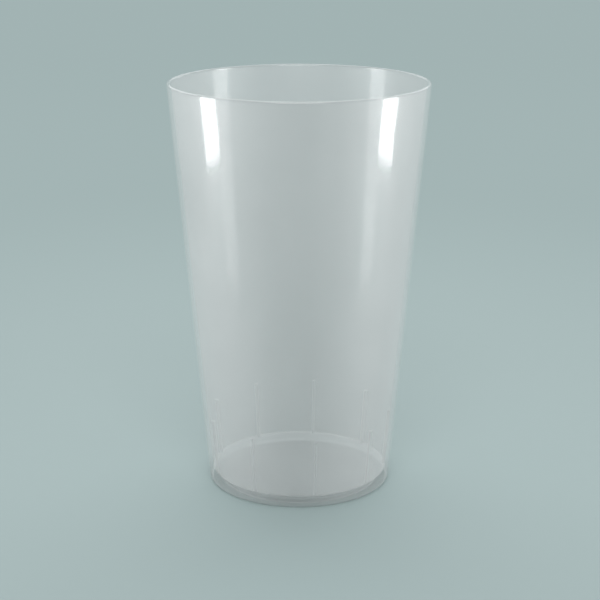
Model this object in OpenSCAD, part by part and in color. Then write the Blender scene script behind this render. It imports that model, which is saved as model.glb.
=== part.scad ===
// Stacking tumbler, injection moulded in one piece from milky translucent polypropylene.
// The cup stands on the XY plane with its axis on Z. All sizes are in millimetres.
// Its wall flares from a ring foot to a plain full-round lip, and short upright ribs inside
// carry the foot of the next cup in a stack, so that two cups never wedge together.

/* [Cup] */
// Height from the table to the top of the lip
cup_h = 140; // [110:1:170]
// Diameter across the outside of the rim
rim_d = 88; // [80:0.5:100]
// Diameter at which the slope of the outer wall would meet the table if the foot were sharp
base_d = 63.4; // [56:0.2:70]

/* [Wall] */
// Thickness of the wall at the rim, which the lip rounds off fully
rim_wall = 1.4; // [1:0.1:2]
// Thickness of the wall at the foot
base_wall = 1.5; // [1:0.1:2.2]

/* [Foot and floor] */
// Thickness of the floor
floor_t = 2; // [1.6:0.1:3]
// Radius of the corner inside, between the floor and the wall
corner_round = 1; // [0.5:0.1:3]
// Radius of the outer edge of the foot
foot_round = 1.2; // [0.6:0.1:1.8]
// Width of the flat ring that the cup stands on
foot_ring = 3; // [2:0.1:5]
// Depth of the recess under the floor, inside the ring
foot_recess = 1.4; // [1.3:0.1:2.5]
// Radius of the two rounded edges of the recess
recess_round = 0.5; // [0.2:0.1:0.6]

/* [Stacking ribs] */
// Number of ribs, one of them on the +X side
rib_count = 9; // [3:1:12]
// Width of a rib, whose nose is rounded to half of it
rib_w = 1.1; // [0.8:0.1:2]
// Gap on the radius between the wall of a stacked cup and the wall of the cup that holds it
stack_gap = 0.6; // [0.3:0.05:1.2]
// How far a rib reaches in under the foot of the stacked cup
rib_reach = 0.6; // [0.4:0.05:1.5]

/* [Moulding gate] */
// Diameter of the dimple in the middle of the underside
gate_d = 10; // [6:0.5:16]
// Depth of the dimple
gate_depth = 0.5; // [0.2:0.1:0.8]
// Diameter of the stub that the trimmed gate leaves in the dimple
stub_d = 2.4; // [1:0.1:4]
// Height of the stub
stub_h = 0.4; // [0.1:0.1:0.8]

/* [Hidden] */
$fn = 144;
arc_steps = 10;
base_r = base_d / 2;
inner_base_r = base_r - base_wall;
lip_r = rim_wall / 2;
lip = [rim_d / 2 - lip_r, cup_h - lip_r];

// Each face of the wall runs straight from its radius at table height to the tangent of the lip's circle.
to_lip_outer = lip - [base_r, 0];
to_lip_inner = lip - [inner_base_r, 0];
draft = atan2(to_lip_outer[0], to_lip_outer[1]) + asin(lip_r / norm(to_lip_outer));
inner_draft = atan2(to_lip_inner[0], to_lip_inner[1]) - asin(lip_r / norm(to_lip_inner));

// Centres of the foot's outer round and of the corner inside, each tangent to its face of the wall.
floor_z = foot_recess + floor_t;
foot_out = base_r + foot_round * (tan(draft) - 1 / cos(draft));
foot_in = foot_out - foot_ring;
corner_z = floor_z + corner_round;
corner_r = inner_base_r + corner_z * tan(inner_draft) - corner_round / cos(inner_draft);

// A cup pushed down into this one would touch its wall at stack_z with no gap, so the ribs end above that.
stack_z = (base_wall + stack_gap) / tan(inner_draft);
rib_depth = (stack_gap + rib_reach) * cos(inner_draft);
rib_root = base_wall / 2;
rib_foot_z = floor_z - floor_t / 2;

gate_z = foot_recess + gate_depth;
stub_z = gate_z - stub_h;

// The point of the circle of radius r about c that lies at angle t, and the points of an arc from a to b.
function on_circle(c, r, t) = c + r * [cos(t), sin(t)];
function arc(c, r, a, b) = [for (i = [0:arc_steps]) on_circle(c, r, a + (b - a) * i / arc_steps)];

// Half section of the moulding, from the gate out along the underside, up the wall, over the lip and back.
section = concat(
    [[0, stub_z], [stub_d / 2, stub_z], [stub_d / 2, gate_z]],
    [[gate_d / 2 - gate_depth, gate_z], [gate_d / 2, foot_recess]],
    arc([foot_in - 2 * recess_round, foot_recess - recess_round], recess_round, 90, 0),
    arc([foot_in, recess_round], recess_round, 180, 270),
    arc([foot_out, foot_round], foot_round, -90, -draft),
    [for (t = [-draft, each [0:10:160], 180 - inner_draft]) on_circle(lip, lip_r, t)],
    arc([corner_r, corner_z], corner_round, -inner_draft, -90),
    [[0, floor_z]]
);

// Plan of a rib, square to the wall: its root is buried in the wall and its nose is half round.
rib_plan = concat(
    [[rib_root, rib_w / 2], [rib_root, -rib_w / 2]],
    arc([rib_w / 2 - rib_depth, 0], rib_w / 2, 270, 90)
);

// One rib on the +X side, leaning with the inner wall, cut level at its top and rooted in the floor.
module rib() {
    intersection() {
        translate([inner_base_r, 0, 0])
            rotate([0, inner_draft, 0])
                linear_extrude(height = 1.1 * stack_z)
                    polygon(rib_plan);
        translate([0, -rib_w, rib_foot_z])
            cube([rim_d / 2, 2 * rib_w, stack_z - rib_foot_z]);
    }
}

module tumbler() {
    color([0.78, 0.84, 0.84, 0.6])
        union() {
            rotate_extrude()
                polygon(section);
            for (i = [0:rib_count - 1])
                rotate([0, 0, 360 * i / rib_count])
                    rib();
        }
}

tumbler();
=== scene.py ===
# %% [markdown]
# # A stacking tumbler in milky plastic
# The real object is one injection moulding of polypropylene: a wall that flares from a ring foot to a
# plain rounded lip, with short upright ribs inside that carry the next cup of a stack. This lesson loads
# the measured model, turns the same section into a smooth mesh, and gives it the look of milky plastic.

# %% Load the measured model
import math

import bmesh
import bpy
from mathutils import Matrix, Vector


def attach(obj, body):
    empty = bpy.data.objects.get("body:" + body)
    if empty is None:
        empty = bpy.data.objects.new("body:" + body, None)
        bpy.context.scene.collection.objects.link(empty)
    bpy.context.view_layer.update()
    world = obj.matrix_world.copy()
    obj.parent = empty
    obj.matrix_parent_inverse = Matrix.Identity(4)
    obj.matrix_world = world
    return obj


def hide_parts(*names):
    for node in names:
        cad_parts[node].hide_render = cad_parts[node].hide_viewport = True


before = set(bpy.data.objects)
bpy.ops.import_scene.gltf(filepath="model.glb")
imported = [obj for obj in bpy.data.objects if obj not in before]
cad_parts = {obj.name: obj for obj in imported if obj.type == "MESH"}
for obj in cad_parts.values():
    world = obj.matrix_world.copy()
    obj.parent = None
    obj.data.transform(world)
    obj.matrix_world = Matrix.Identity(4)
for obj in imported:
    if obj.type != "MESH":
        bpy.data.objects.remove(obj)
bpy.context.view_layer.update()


# %% [markdown]
# ## The camera
# The photograph was taken with a long lens from a little above the rim. Its place was found by fitting
# the cup's outline, so the script only repeats the numbers: where the camera stands, how far it looks
# down, and a lens that makes the picture's half width 300 pixels at 1534 pixels of distance.

# %% Set up the camera
camera_place = (0.0, -0.5101, 0.2138)
looks_down = math.radians(16.35)
looks_right = math.radians(0.032)
SENSOR_W, PICTURE_PX, DISTANCE_PX = 36.0, 600, 1534
camera = bpy.data.objects.new("camera", bpy.data.cameras.new("camera"))
camera.data.sensor_width = SENSOR_W
camera.data.lens = SENSOR_W * DISTANCE_PX / PICTURE_PX
camera.location = camera_place
camera.rotation_euler = (math.radians(90) - looks_down, 0.0, -looks_right)
bpy.context.collection.objects.link(camera)
bpy.context.scene.camera = camera
print("lens", round(camera.data.lens, 2), "mm at", camera_place)

# %% [markdown]
# ## The sizes
# These are the measured model's own sizes, in metres. Each is written once, and all the rest is worked
# out from them, so the whole shape follows when one of them changes.

# %% Give the sizes
MM = 0.001
cup_h, rim_r, base_r = 140 * MM, 44 * MM, 31.7 * MM
rim_wall, base_wall = 1.4 * MM, 1.5 * MM
floor_t, corner_round = 2.0 * MM, 1.0 * MM
foot_round, foot_ring = 1.2 * MM, 3.0 * MM
foot_recess, recess_round = 1.4 * MM, 0.5 * MM
rib_count, rib_w, stack_gap, rib_reach = 9, 1.1 * MM, 0.6 * MM, 0.6 * MM
gate_r, gate_depth, stub_r, stub_h = 5.0 * MM, 0.5 * MM, 1.2 * MM, 0.4 * MM
dimple_round, stub_round = 0.4 * MM, 0.15 * MM
print("height", cup_h, "rim", 2 * rim_r, "base", 2 * base_r, "metres")

# %% [markdown]
# ## The slopes
# The wall's two faces run straight up to the tangents of the lip's circle, so their slopes follow from
# the rim, the base and the wall's thickness. The ribs end where the foot of the next cup in a stack has
# just its clearance from the wall, so their height follows from a slope too.

# %% Work out the slopes
lip_r = rim_wall / 2
inner_base_r = base_r - base_wall


def wall_slope(start_r, side):
    """The lean of a wall face that starts at start_r and touches the lip's circle on that side."""
    across, up = rim_r - lip_r - start_r, cup_h - lip_r
    return math.atan2(across, up) + side * math.asin(lip_r / math.hypot(across, up))


outer_lean, inner_lean = wall_slope(base_r, 1), wall_slope(inner_base_r, -1)
floor_z = foot_recess + floor_t
stack_z = (base_wall + stack_gap) / math.tan(inner_lean)
foot_out = base_r + foot_round * (math.tan(outer_lean) - 1 / math.cos(outer_lean))
foot_in = foot_out - foot_ring


def inner_r(z):
    """The radius of the wall's inner face at height z."""
    return inner_base_r + z * math.tan(inner_lean)


def rib_tip_r(z):
    """The radius that a rib's nose reaches at height z."""
    return inner_r(z) - stack_gap - rib_reach


print("leans", round(math.degrees(outer_lean), 3), round(math.degrees(inner_lean), 3),
      "degrees; rib tops at", round(stack_z / MM, 2), "mm")

# %% [markdown]
# ## The section
# A turned shape is drawn as half a section, which is then spun about its axis. The list goes from the
# middle of the floor's underside, over the trimmed gate in its dimple and the ring foot, up the outside,
# over the lip and down the inside to the middle of the floor again. The corners are still sharp.

# %% List the corners of half the section
corners = [  # radius, height, radius of the round, segments of the round
    (0.0, foot_recess + gate_depth - stub_h, 0, 0),
    (stub_r, foot_recess + gate_depth - stub_h, stub_round, 3),
    (stub_r, foot_recess + gate_depth, stub_round, 3),
    (gate_r - gate_depth, foot_recess + gate_depth, dimple_round, 3),
    (gate_r, foot_recess, dimple_round, 3),
    (foot_in - recess_round, foot_recess, recess_round, 6),
    (foot_in - recess_round, 0.0, recess_round, 6),
    (base_r, 0.0, foot_round, 8),
    (base_r + cup_h * math.tan(outer_lean), cup_h, lip_r, 8),
    (inner_r(cup_h), cup_h, lip_r, 8),
    (inner_r(stack_z), stack_z, 0, 0),
    (inner_r(floor_z), floor_z, corner_round, 6),
    (rib_tip_r(floor_z), floor_z, 0, 0),
    (0.0, floor_z, 0, 0),
]
print("corners:", len(corners), "of which", sum(bend > 0 for _, _, bend, _ in corners), "get a round")

# %% [markdown]
# ## The rounds
# A mould has no sharp corners. Rounding a corner of a wire is a vertex bevel: it runs back along both
# edges by the length of the tangent, so that its arc has exactly the radius wanted. The two rounds of the
# lip meet in the middle. The long edges of the wall are cut, so that its faces don't become slivers.

# %% Draw the wire and round its corners
MERGE_WIRE, MERGE_MESH = 1e-7, 1e-6
LONG_EDGE, WALL_CUTS = 15 * MM, 11


def section_wire():
    """A bmesh that holds the rounded half section in the XZ plane."""
    bm = bmesh.new()
    points = [bm.verts.new((r, 0.0, z)) for r, z, _, _ in corners]
    for a, b in zip(points, points[1:]):
        bm.edges.new((a, b))
    tangents = []
    for before, here, after, (_, _, bend, _) in zip(points, points[1:], points[2:], corners[1:]):
        angle = (before.co - here.co).angle(after.co - here.co)
        tangents.append(bend / math.tan(angle / 2))
    for point, tangent, (_, _, bend, steps) in zip(points[1:], tangents, corners[1:]):
        if bend:
            bmesh.ops.bevel(bm, geom=[point], offset=tangent, offset_type="OFFSET", segments=steps,
                            profile=0.5, affect="VERTICES", clamp_overlap=False, material=-1)
    bmesh.ops.remove_doubles(bm, verts=bm.verts[:], dist=MERGE_WIRE)
    walls = [e for e in bm.edges if abs(e.verts[0].co.z - e.verts[1].co.z) > LONG_EDGE]
    bmesh.ops.subdivide_edges(bm, edges=walls, cuts=WALL_CUTS)
    return bm


wire = section_wire()
print("section:", len(wire.verts), "points,", len(wire.edges), "edges")

# %% [markdown]
# ## One slice of the cup
# Nine ribs repeat every 40 degrees, so one slice of 40 degrees holds the whole design. The wire is spun
# in many small turns. The turns across the rib are spaced like the shadow of a half circle, because the
# rib's nose is half round.

# %% Spin one slice
slice_angle = math.tau / rib_count
rib_half = math.asin(rib_w / 2 / inner_r(stack_z))
NOSE_STEPS, WALL_STEPS = 8, 14
wall_turn = (slice_angle / 2 - rib_half) / WALL_STEPS
nose_angles = [-rib_half * math.cos(math.pi * k / NOSE_STEPS) for k in range(NOSE_STEPS + 1)]
nose_turns = [b - a for a, b in zip(nose_angles, nose_angles[1:])]
turns = [wall_turn] * WALL_STEPS + nose_turns + [wall_turn] * WALL_STEPS


def turned_slice(bm):
    """Turns the wire in bm into one slice of the cup, with the +X side in its middle."""
    half_back = Matrix.Rotation(-slice_angle / 2, 3, "Z")
    bmesh.ops.rotate(bm, verts=bm.verts[:], cent=(0, 0, 0), matrix=half_back)
    last = bm.verts[:] + bm.edges[:]
    for turn in turns:
        step = bmesh.ops.spin(bm, geom=last, cent=(0, 0, 0), axis=(0, 0, 1), angle=turn, steps=1)
        last = step["geom_last"]


turned_slice(wire)
print("slice of", round(math.degrees(slice_angle)), "degrees:", len(wire.faces), "faces")

# %% [markdown]
# ## The rib
# A stacked cup stands on the ends of the ribs, so that it doesn't wedge in the wall and comes out again.
# A rib could be a block sunk into the wall, but then the mesh would cross itself. Here the faces of the
# inner wall and the floor behind the rib are extruded, and the new points are drawn towards the axis,
# each as far as the nose reaches there, so wall and rib stay one skin.

# %% Pull the rib out of the wall
MARGIN = 0.1 * MM


def is_behind_rib(face):
    """True for a face of the inner wall, corner or floor that a rib stands on."""
    middle = face.calc_center_median()
    r, turn = math.hypot(middle.x, middle.y), math.atan2(middle.y, middle.x)
    inside = rib_tip_r(floor_z) < r < inner_r(middle.z) + MARGIN
    return abs(turn) < rib_half and floor_z - MARGIN / 10 < middle.z < stack_z and inside


def pull_rib(bm):
    """Extrudes the faces behind the rib and draws the new points in to the rib's half-round nose."""
    behind = [f for f in bm.faces if is_behind_rib(f)]
    made = bmesh.ops.extrude_face_region(bm, geom=behind)["geom"]
    bmesh.ops.delete(bm, geom=[f for f in behind if f.is_valid], context="FACES")
    for v in (g for g in made if isinstance(g, bmesh.types.BMVert)):
        turn, r = math.atan2(v.co.y, v.co.x), math.hypot(v.co.x, v.co.y)
        side = min(abs(turn) / rib_half, 1.0)
        nose_r = rib_tip_r(v.co.z) + rib_w / 2 * (1 - math.sqrt(1 - side * side))
        v.co.xy = v.co.xy * (min(r, nose_r) / r)
    return len(behind)


rib_faces = pull_rib(wire)
bmesh.ops.remove_doubles(wire, verts=wire.verts[:], dist=MERGE_MESH)
print("slice with its rib:", len(wire.faces), "faces;", rib_faces, "faces carried the rib")

# %% [markdown]
# ## The whole cup
# The slice is copied round the axis with the spin operator's duplicate option. The copies share their
# edges only in place, so doubles are merged, which also closes the two poles on the axis. The normals are
# worked out again after the merge. A closed mesh has exactly two faces at every edge, which is easy to
# test. Faces are shaded smooth, and only edges of more than 38 degrees stay crisp.

# %% Copy the slice round and close the mesh
SHARP = math.radians(38)
bmesh.ops.spin(wire, geom=wire.verts[:] + wire.edges[:] + wire.faces[:], cent=(0, 0, 0), axis=(0, 0, 1),
               angle=math.tau - slice_angle, steps=rib_count - 1, use_duplicate=True)
bmesh.ops.remove_doubles(wire, verts=wire.verts[:], dist=MERGE_MESH)
bmesh.ops.dissolve_degenerate(wire, edges=wire.edges[:], dist=MERGE_WIRE)
bmesh.ops.recalc_face_normals(wire, faces=wire.faces[:])
open_edges = sum(len(e.link_faces) != 2 for e in wire.edges)
for f in wire.faces:
    f.smooth = True
for e in wire.edges:
    e.smooth = len(e.link_faces) == 2 and e.calc_face_angle() < SHARP
volume = wire.calc_volume() * 1e6
print("cup:", len(wire.faces), "faces,", open_edges, "open edges,", round(volume, 2), "cubic cm")

# %% [markdown]
# ## The finished piece
# The mesh goes into an object at the origin, where the measured model has its own. The object stands in
# for the measured cup and rides on the one body that there is.

# %% Put the cup in the scene
cup = bpy.data.objects.new("moulded_cup", bpy.data.meshes.new("moulded_cup"))
wire.to_mesh(cup.data)
wire.free()
bpy.context.collection.objects.link(cup)
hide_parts("tumbler")
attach(cup, "root")
print(cup.name, "stands in for the measured tumbler")

# %% [markdown]
# ## Milky plastic
# Polypropylene is cloudy. Light scatters in the thin wall, so it covers about a third of what lies behind
# each of its faces and lets the rest through. True scattering inside a 1.4 mm wall is slow to compute,
# and no exported model can hold it, so each face is a plain surface with an Alpha: four faces of wall in
# a line of sight then build up the milky look, as four thin sheets of tracing paper would.
#
# One moulding has five finishes. The outside is pressed against a polished cavity. The inside is pressed
# against a satin core, which lets air in when the cup is pushed off. The floor and the ribs are thicker
# than the wall, and thick plastic scatters more, so the floor is denser and deeper in tint and the ribs
# are whiter. The lip is a small solid bead that carries one thin line of gloss. Its milk is written greyer
# than the wall's as painted shade, which tones down the light that the side lamps throw on the bead.

# %% Give a short way to add nodes
def add_node(tree, kind, inputs=(), **options):
    """A new shader node. inputs are pairs of a socket and what it gets: a value, or a socket to link."""
    made = tree.nodes.new("ShaderNode" + kind)
    for name, value in options.items():
        setattr(made, name, value)
    for socket, value in dict(inputs).items():
        if isinstance(value, bpy.types.NodeSocket):
            tree.links.new(value, made.inputs[socket])
        else:
            made.inputs[socket].default_value = value
    return made


# %% [markdown]
# ## The marks of moulding
# A moulded face is never quite even. The flow of the melt leaves faint streaks, the plastic has soft
# clouds, the gate a whiter blush, and every face very fine waves. All five finishes show these marks,
# some more strongly than others, so the marks are one node group with named sockets, built once and
# placed in each finish.

# %% Make the group and its sockets
marks = bpy.data.node_groups.new("moulding_marks", "ShaderNodeTree")
for name, kind, usual in (("Colour", "Color", (0.5, 0.5, 0.5, 1)), ("Roughness", "Float", 0.4),
                          ("Streaks", "Float", 0.1), ("Clouds", "Float", 0.1), ("Blush", "Float", 0.0)):
    marks.interface.new_socket(name, in_out="INPUT", socket_type="NodeSocket" + kind).default_value = usual
for name, kind in (("Colour", "Color"), ("Roughness", "Float"), ("Height", "Float")):
    marks.interface.new_socket(name, in_out="OUTPUT", socket_type="NodeSocket" + kind)
given = marks.nodes.new("NodeGroupInput").outputs
print("sockets:", [item.name + " " + item.in_out.lower() for item in marks.interface.items_tree])

# %% [markdown]
# ## The patterns
# The melt enters at the gate under the floor, spreads out like spokes and then runs up the wall. A
# pattern that follows it reads the direction from the axis, which is the same all the way along a spoke,
# and only a little of the height. The clouds and the waves are plain noises, a coarse and a fine one, and
# the blush is a fade with the distance from the axis. Object coordinates hold them all still on the cup.

# %% Make the four patterns
STREAKS_ROUND, STREAK_CLIMB = 60, 5.0
CLOUDS_PER_M, WAVES_PER_M = 45.0, 800.0
BLUSH_IN, BLUSH_OUT = 3 * MM, 13 * MM
place = add_node(marks, "TexCoord").outputs["Object"]
flat = add_node(marks, "VectorMath", {0: place, 1: (1, 1, 0)}, operation="MULTIPLY").outputs["Vector"]
spoke = add_node(marks, "VectorMath", {0: flat}, operation="NORMALIZE").outputs["Vector"]
climb = add_node(marks, "VectorMath", {0: place, 1: (0, 0, STREAK_CLIMB)}, operation="MULTIPLY")
turn_and_climb = {0: spoke, 1: (STREAKS_ROUND / math.tau,) * 3, 2: climb.outputs["Vector"]}
path = add_node(marks, "VectorMath", turn_and_climb, operation="MULTIPLY_ADD").outputs["Vector"]
streak = add_node(marks, "TexNoise", {"Vector": path, "Scale": 1.0, "Detail": 2.0}).outputs[0]
cloud = add_node(marks, "TexNoise", {"Vector": place, "Scale": CLOUDS_PER_M, "Detail": 3.0}).outputs[0]
wave = add_node(marks, "TexNoise", {"Vector": place, "Scale": WAVES_PER_M, "Detail": 1.0}).outputs[0]
from_axis = add_node(marks, "VectorMath", {0: flat}, operation="LENGTH").outputs["Value"]
gate_fade = {"Value": from_axis, "From Min": BLUSH_IN, "From Max": BLUSH_OUT, "To Min": 1.0, "To Max": 0.0}
near_gate = add_node(marks, "MapRange", gate_fade, interpolation_type="SMOOTHSTEP").outputs[0]
print("patterns: streak, cloud, wave and the blush near the gate, from", len(marks.nodes), "nodes")

# %% [markdown]
# ## Mixing the marks
# A noise goes from 0 to 1, so added as it is it would make the whole cup paler. It is first turned into a
# swing to both sides, so a finish keeps its mean colour. Streaks, clouds and blush then shade the colour,
# the clouds also make the gloss a little uneven, and streaks and waves together are the height for a
# bump.

# %% Mix the patterns into colour, roughness and height
ROUGHNESS_SWING, STREAK_HEIGHT = 0.12, 0.6


def swing(noise):
    """Turns a noise of 0 to 1 into one of -1 to 1, so that a finish keeps its mean colour."""
    return add_node(marks, "Math", {0: noise, 1: 2.0, 2: -1.0}, operation="MULTIPLY_ADD").outputs[0]


def plus(amount, strength, base):
    """A socket that is amount times strength plus base."""
    return add_node(marks, "Math", {0: amount, 1: strength, 2: base}, operation="MULTIPLY_ADD").outputs[0]


shade = plus(swing(streak), given["Streaks"], 1.0)
shade = plus(swing(cloud), given["Clouds"], shade)
shade = plus(near_gate, given["Blush"], shade)
tinted = add_node(marks, "VectorMath", {0: given["Colour"], "Scale": shade}, operation="SCALE")
marked = marks.nodes.new("NodeGroupOutput")
marks.links.new(tinted.outputs["Vector"], marked.inputs["Colour"])
marks.links.new(plus(swing(cloud), ROUGHNESS_SWING, given["Roughness"]), marked.inputs["Roughness"])
marks.links.new(plus(streak, STREAK_HEIGHT, wave), marked.inputs["Height"])
print("moulding marks:", len(marks.nodes), "nodes")

# %% [markdown]
# ## The five finishes
# Each finish is one Principled shader of its own, which the export can read. What varies over the surface
# comes from the marks: colour, roughness and height. What is the same all over is set on the shader
# itself: how much each face covers, and its gloss.

# %% Give a way to make a finish
WAVE_HEIGHT, COAT_ROUGHNESS = 0.02 * MM, 0.1


def make_plastic(name, colour, density, roughness, ior, coat, coat_ior, streaks, clouds, blush=0.0):
    """A cloudy plastic that covers what is behind it by density, with its own gloss and moulding marks."""
    plastic = bpy.data.materials.new(name)
    plastic.use_nodes = True
    tree = plastic.node_tree
    group = add_node(tree, "Group", node_tree=marks)
    for socket, value in (("Colour", colour), ("Roughness", roughness), ("Streaks", streaks),
                          ("Clouds", clouds), ("Blush", blush)):
        group.inputs[socket].default_value = value
    bump = add_node(tree, "Bump", {"Height": group.outputs["Height"], "Distance": WAVE_HEIGHT})
    skin = tree.nodes["Principled BSDF"]
    tree.links.new(group.outputs["Colour"], skin.inputs["Base Color"])
    tree.links.new(group.outputs["Roughness"], skin.inputs["Roughness"])
    tree.links.new(bump.outputs["Normal"], skin.inputs["Normal"])
    for socket, value in (("IOR", ior), ("Alpha", density), ("Coat Weight", coat), ("Coat IOR", coat_ior),
                          ("Coat Roughness", COAT_ROUGHNESS)):
        skin.inputs[socket].default_value = value
    cup.data.materials.append(plastic)


# %% [markdown]
# ## The values of the finishes
# A strong clear coat with a high index gives the outside its crisp white highlights over a broad soft
# glow. The lip has nearly the same coat on a greyer milk, the inside and the ribs have only a trace of
# one, and the floor has none.

# %% Make the five finishes
MILK = (0.618, 0.64, 0.64, 1)
WHITER_MILK = (0.675, 0.70, 0.70, 1)
# painted shade: the lip's milk is written darker so that the lamps' bright light on the bead reads calmer
LIP_MILK_WITH_PAINTED_SHADE = (0.482, 0.50, 0.50, 1)
DEEPER_MILK = (0.51, 0.56, 0.56, 1)
make_plastic("polished_outside", MILK, density=0.36, roughness=0.40, ior=2.0, coat=1.0, coat_ior=2.2,
             streaks=0.05, clouds=0.08)
make_plastic("satin_inside", MILK, density=0.28, roughness=0.45, ior=2.0, coat=0.2, coat_ior=1.5,
             streaks=0.05, clouds=0.08)
make_plastic("thick_floor", DEEPER_MILK, density=0.45, roughness=0.40, ior=1.5, coat=0.0, coat_ior=1.5,
             streaks=0.08, clouds=0.12, blush=0.06)
make_plastic("thick_ribs", WHITER_MILK, density=0.37, roughness=0.45, ior=2.0, coat=0.2, coat_ior=1.5,
             streaks=0.03, clouds=0.08)
make_plastic("rounded_lip", LIP_MILK_WITH_PAINTED_SHADE, density=0.36, roughness=0.35, ior=1.8, coat=0.9, coat_ior=2.1,
             streaks=0.05, clouds=0.08)
print("finishes:", [finish.name for finish in cup.data.materials])

# %% [markdown]
# ## Where each finish lies
# A finish changes where one part of the mould meets the next, or where the plastic gets thicker, so it
# ends at an edge of the cup. The faces could be picked by hand, but the picks would be lost with the next
# change of a size. Here each face is sorted by the place of its middle, measured against the same named
# sizes as the shape, with a small margin.

# %% Give each face its finish
OUTSIDE, INSIDE, FLOOR, RIBS, LIP = range(5)


def finish_of(face):
    """Which finish a face of the cup has, from where its middle lies."""
    r, z = math.hypot(face.center.x, face.center.y), face.center.z
    if z > cup_h - lip_r:
        return LIP
    if r < foot_in and z < floor_z + MARGIN:
        return FLOOR
    if z > floor_z - MARGIN and r < inner_r(z) + 3 * MARGIN:
        on_rib = z < stack_z + MARGIN and rib_tip_r(z) - MARGIN < r < inner_r(z) - MARGIN
        return RIBS if on_rib else INSIDE
    return OUTSIDE


for face in cup.data.polygons:
    face.material_index = finish_of(face)
for k, finish in enumerate(cup.data.materials):
    print(finish.name, sum(f.material_index == k for f in cup.data.polygons), "faces")

# %% [markdown]
# ## Seen rays and lighting rays
# A pale studio would flood a cloudy cup from every side. The Light Path node tells apart the rays with
# which the camera sees something, straight, in a gloss or through glass, from those that only carry
# light. The floor and the sky are then pale to look at, while the lamps do nearly all of the lighting.

# %% Tell seen rays from lighting rays
def seen_share(tree):
    """A socket that is 1 for camera, glossy and transmission rays and 0 for rays that only carry light."""
    rays = add_node(tree, "LightPath").outputs
    seen = rays["Is Camera Ray"]
    for name in ("Is Glossy Ray", "Is Transmission Ray"):
        seen = add_node(tree, "Math", {0: seen, 1: rays[name]}, operation="ADD", use_clamp=True).outputs[0]
    return seen


# %% [markdown]
# ## The floor
# The cup stands on plain pale paper, a disc so wide that its rim is out of sight. A disc has no corners,
# so it looks the same from every side.

# %% Lay the floor
FLOOR_R, FLOOR_SIDES = 3.0, 96
floor_bm = bmesh.new()
bmesh.ops.create_circle(floor_bm, cap_ends=True, radius=FLOOR_R, segments=FLOOR_SIDES)
floor = bpy.data.objects.new("floor", bpy.data.meshes.new("floor"))
floor_bm.to_mesh(floor.data)
floor_bm.free()
bpy.context.collection.objects.link(floor)
print("floor radius", FLOOR_R, "m")

# %% [markdown]
# ## The paper
# The paper is a little green and blue, because a colourless cup is hard to tell from paper of its own
# grey. Near the cup it is a true surface, which keeps the cup's soft shadow. Further out the lamps no
# longer reach it, so it blends into a plain glow of the backdrop's own colour, and no horizon shows from
# any side.

# %% Paint the floor
BACKDROP = (0.368, 0.46, 0.46, 1)
GROUND = (0.34, 0.425, 0.425, 1)
BOUNCE = (0.28, 0.30, 0.30, 1)
NEAR_R, FAR_R, FAR_SHARE, PAPER_ROUGHNESS = 0.1, 0.5, 0.97, 0.7
paper = bpy.data.materials.new("pale paper")
paper.use_nodes = True
tree = paper.node_tree
ground = tree.nodes["Principled BSDF"]
ground.inputs["Roughness"].default_value = PAPER_ROUGHNESS
seen = seen_share(tree)
tone = add_node(tree, "Mix", {0: seen, 6: BOUNCE, 7: GROUND}, data_type="RGBA", name="bounce or seen")
tree.links.new(tone.outputs[2], ground.inputs["Base Color"])
where = add_node(tree, "TexCoord").outputs["Object"]
distance = add_node(tree, "VectorMath", {0: where}, operation="LENGTH").outputs["Value"]
reach = {"Value": distance, "From Min": NEAR_R, "From Max": FAR_R, "To Max": FAR_SHARE}
fade = add_node(tree, "MapRange", reach, interpolation_type="SMOOTHSTEP", name="fade").outputs[0]
share = add_node(tree, "Math", {0: seen, 1: fade}, operation="MULTIPLY").outputs[0]
glow = add_node(tree, "Emission", {"Color": BACKDROP}, name="far glow").outputs[0]
blend = add_node(tree, "MixShader", {0: share, 1: ground.outputs[0], 2: glow}).outputs[0]
tree.links.new(blend, tree.nodes["Material Output"].inputs["Surface"])
floor.data.materials.append(paper)
print("paper blends into the backdrop from", NEAR_R, "to", FAR_R, "m")

# %% [markdown]
# ## The sky
# The world is one even tone behind everything, the same as the far floor's, and gives only a little
# light.

# %% Hang the sky
FILL_TINT, FILL_STRENGTH = (0.97, 1.0, 1.0, 1), 0.35
world = bpy.data.worlds.new("studio")
world.use_nodes = True
tree = world.node_tree
sky = tree.nodes["Background"]
sky.name = "seen sky"
sky.inputs["Color"].default_value = BACKDROP
fill = add_node(tree, "Background", {"Color": FILL_TINT, "Strength": FILL_STRENGTH}, name="lighting sky")
either = add_node(tree, "MixShader", {0: seen_share(tree), 1: fill.outputs[0], 2: sky.outputs[0]})
tree.links.new(either.outputs[0], tree.nodes["World Output"].inputs["Surface"])
bpy.context.scene.world = world
print("sky tone", BACKDROP[:3], "and lighting strength", FILL_STRENGTH)

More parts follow.
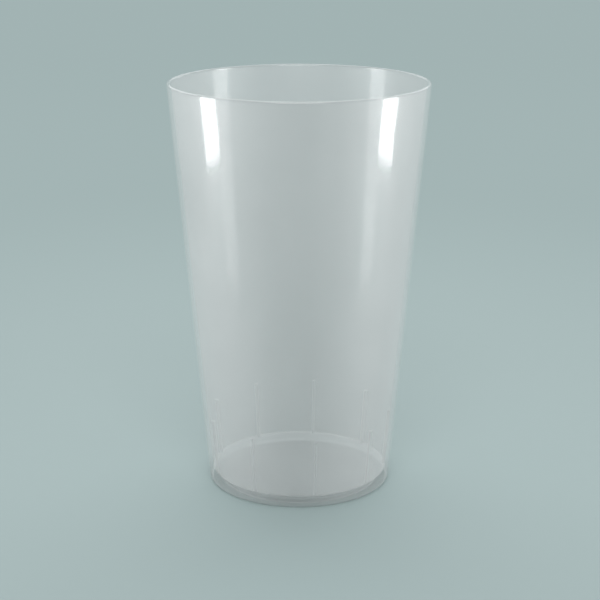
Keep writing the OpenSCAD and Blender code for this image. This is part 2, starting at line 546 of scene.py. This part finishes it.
# %% [markdown]
# ## The lamps
# Two upright strips beside the cup make the two tall highlights on its front and the bright bands inside
# its mouth. A wall seen from above mirrors what stands lower than itself, so each highlight fades out on
# the upper wall, where the mirrored line passes under the strip. A soft lamp above the camera makes the
# wall paler towards the rim, and two weak ones, behind and overhead, lift the lip and the floor. The
# strips come so near the floor that they would leave two bright pools on it, so light linking keeps them
# on the cup alone, as a photographer would flag them off the paper. A lamp's power goes with its face, so
# each is given as a radiance.

# %% Set up the lamps
def softbox(name, place, target, width, height, radiance):
    """A rectangular lamp at place that faces target and gives off the same radiance over its whole face."""
    data = bpy.data.lights.new(name, "AREA")
    data.shape, data.size, data.size_y = "RECTANGLE", width, height
    data.energy = radiance * math.pi * width * height
    lamp = bpy.data.objects.new(name, data)
    lamp.location = place
    lamp.rotation_euler = (Vector(target) - Vector(place)).to_track_quat("-Z", "Y").to_euler()
    lamp.visible_camera = False
    bpy.context.collection.objects.link(lamp)
    return lamp


only_cup = bpy.data.collections.new("lit_by_the_strips")
only_cup.objects.link(cup)
STRIP_W, STRIP_H, STRIP_FAR, STRIP_LIFT = 0.105, 0.30, 0.355, 0.011
STRIP_TURN, STRIP_RADIANCE = math.radians(80.5), 9.6
for side, name in ((-1, "strip_left"), (1, "strip_right")):
    x, y = side * STRIP_FAR * math.sin(STRIP_TURN), -STRIP_FAR * math.cos(STRIP_TURN)
    z = STRIP_LIFT + STRIP_H / 2
    strip = softbox(name, (x, y, z), (0, 0, z), STRIP_W, STRIP_H, STRIP_RADIANCE)
    strip.light_linking.receiver_collection = only_cup
softbox("front_softbox", (0, -0.55, 0.62), (0, 0, 0.1), width=0.5, height=0.4, radiance=3.8)
softbox("back_softbox", (0, 0.6, 0.62), (0, 0, 0.1), width=1.4, height=0.8, radiance=1.4)
softbox("top_softbox", (0, 0, 1.0), (0, 0, 0), width=0.7, height=0.7, radiance=1.5)

# %% [markdown]
# ## The last setting
# The Standard view transform shows each colour as it was written.

# %% Finish
bpy.context.scene.view_settings.view_transform = "Standard"
